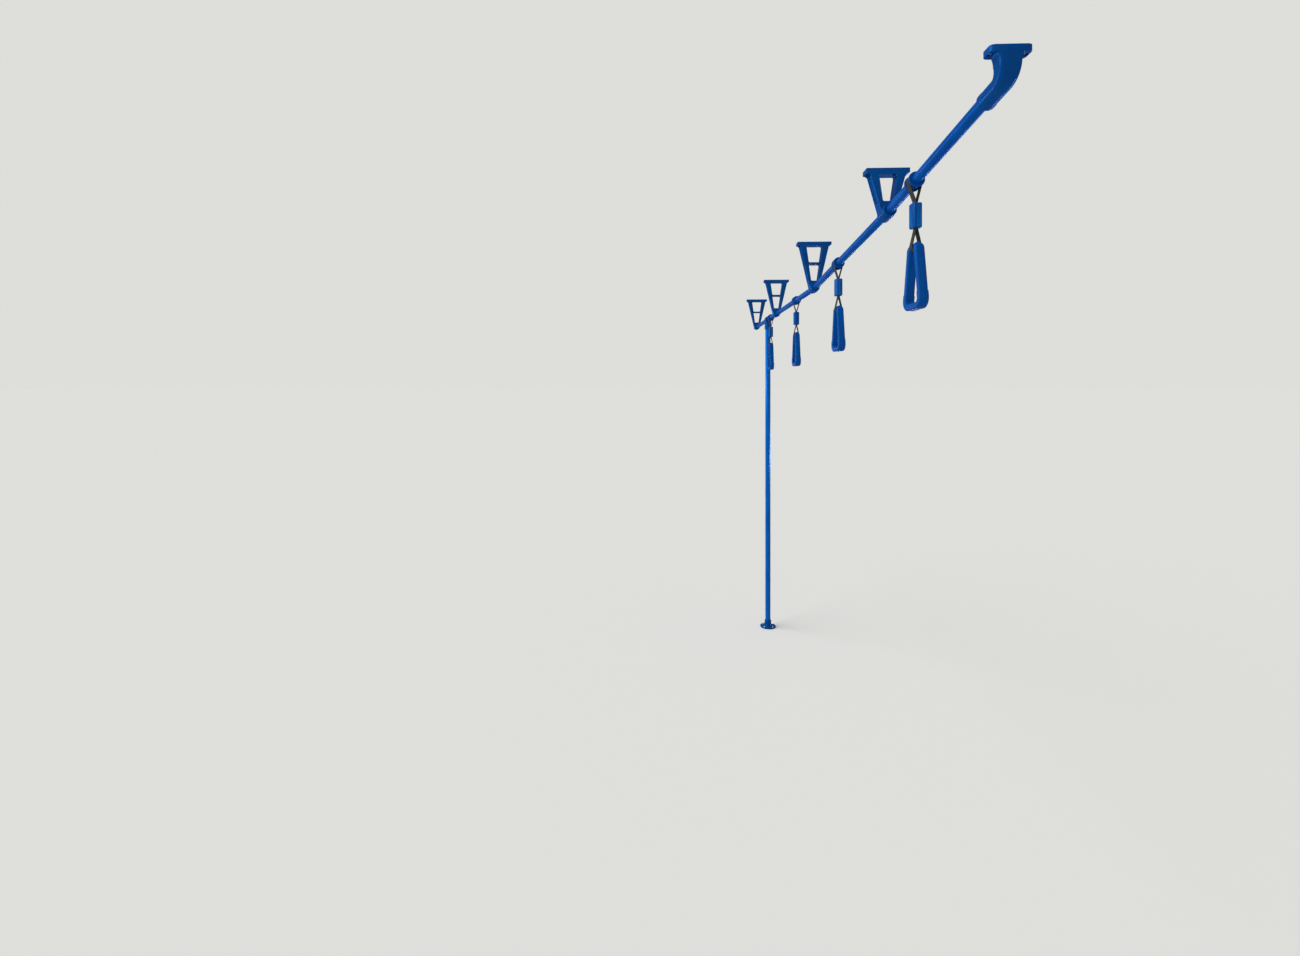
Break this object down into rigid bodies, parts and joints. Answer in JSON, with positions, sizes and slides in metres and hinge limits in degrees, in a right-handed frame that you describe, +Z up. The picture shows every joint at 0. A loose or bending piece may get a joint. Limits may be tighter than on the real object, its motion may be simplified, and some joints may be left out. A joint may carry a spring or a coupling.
{
  "type": "overhead grab rail with strap handles",
  "caption": "Overhead grab rail of an airport bus: a tube on ceiling brackets with hanging strap handles that swing, and a stanchion pole down to the floor.",
  "frame": {"origin": "middle of the end bracket's foot, on the ceiling", "axes": "+X forward along the bus and the rail, +Y to the left of the bus, +Z up"},
  "size_m": [3.363, 0.143, 2.15],
  "materials": {
    "tube_blue": "blue powder coat on steel tube, semi-gloss",
    "fitting_blue": "blue powder coat on cast aluminium, semi-gloss",
    "moulding_blue": "blue injection-moulded plastic, slightly glossy",
    "webbing_black": "black woven polyester webbing"
  },
  "bodies": {
    "rail": {"end_bracket": "fitting_blue", "bracket_1": "fitting_blue", "bracket_2": "fitting_blue", "bracket_3": "fitting_blue", "bracket_4": "fitting_blue", "rail_tube_1": "tube_blue", "rail_tube_2": "tube_blue", "rail_tube_3": "tube_blue", "rail_tube_4": "tube_blue", "pole_tee": "fitting_blue", "pole": "tube_blue", "floor_flange": "fitting_blue", "collar_1": "moulding_blue", "collar_2": "moulding_blue", "collar_3": "moulding_blue", "collar_4": "moulding_blue"},
    "hanger_strap_1": {"strap_1": "webbing_black", "sleeve_1": "moulding_blue"},
    "hanger_handle_1": {"handle_1": "moulding_blue"},
    "hanger_strap_2": {"strap_2": "webbing_black", "sleeve_2": "moulding_blue"},
    "hanger_handle_2": {"handle_2": "moulding_blue"},
    "hanger_strap_3": {"strap_3": "webbing_black", "sleeve_3": "moulding_blue"},
    "hanger_handle_3": {"handle_3": "moulding_blue"},
    "hanger_strap_4": {"strap_4": "webbing_black", "sleeve_4": "moulding_blue"},
    "hanger_handle_4": {"handle_4": "moulding_blue"}
  },
  "joints": [
    {"name": "strap_swing_1", "type": "hinge", "parent": "rail", "child": "hanger_strap_1", "pos_m": [0.427, 0, -0.10048], "axis": [0.993, 0, -0.1184], "range_deg": [-75, 75]},
    {"name": "handle_swing_1", "type": "hinge", "parent": "hanger_strap_1", "child": "hanger_handle_1", "pos_m": [0.42025, 0, -0.26508], "axis": [1, 0, 0], "range_deg": [-50, 50]},
    {"name": "strap_swing_2", "type": "hinge", "parent": "rail", "child": "hanger_strap_2", "pos_m": [1.139, 0, -0.1663], "axis": [0.9967, 0, -0.0814], "range_deg": [-75, 75]},
    {"name": "handle_swing_2", "type": "hinge", "parent": "hanger_strap_2", "child": "hanger_handle_2", "pos_m": [1.13436, 0, -0.33111], "axis": [1, 0, 0], "range_deg": [-50, 50]},
    {"name": "strap_swing_3", "type": "hinge", "parent": "rail", "child": "hanger_strap_3", "pos_m": [1.9, 0, -0.198], "axis": [1, 0, 0], "range_deg": [-75, 75]},
    {"name": "handle_swing_3", "type": "hinge", "parent": "hanger_strap_3", "child": "hanger_handle_3", "pos_m": [1.9, 0, -0.363], "axis": [1, 0, 0], "range_deg": [-50, 50]},
    {"name": "strap_swing_4", "type": "hinge", "parent": "rail", "child": "hanger_strap_4", "pos_m": [2.684, 0, -0.198], "axis": [1, 0, 0], "range_deg": [-75, 75]},
    {"name": "handle_swing_4", "type": "hinge", "parent": "hanger_strap_4", "child": "hanger_handle_4", "pos_m": [2.684, 0, -0.363], "axis": [1, 0, 0], "range_deg": [-50, 50]}
  ]
}
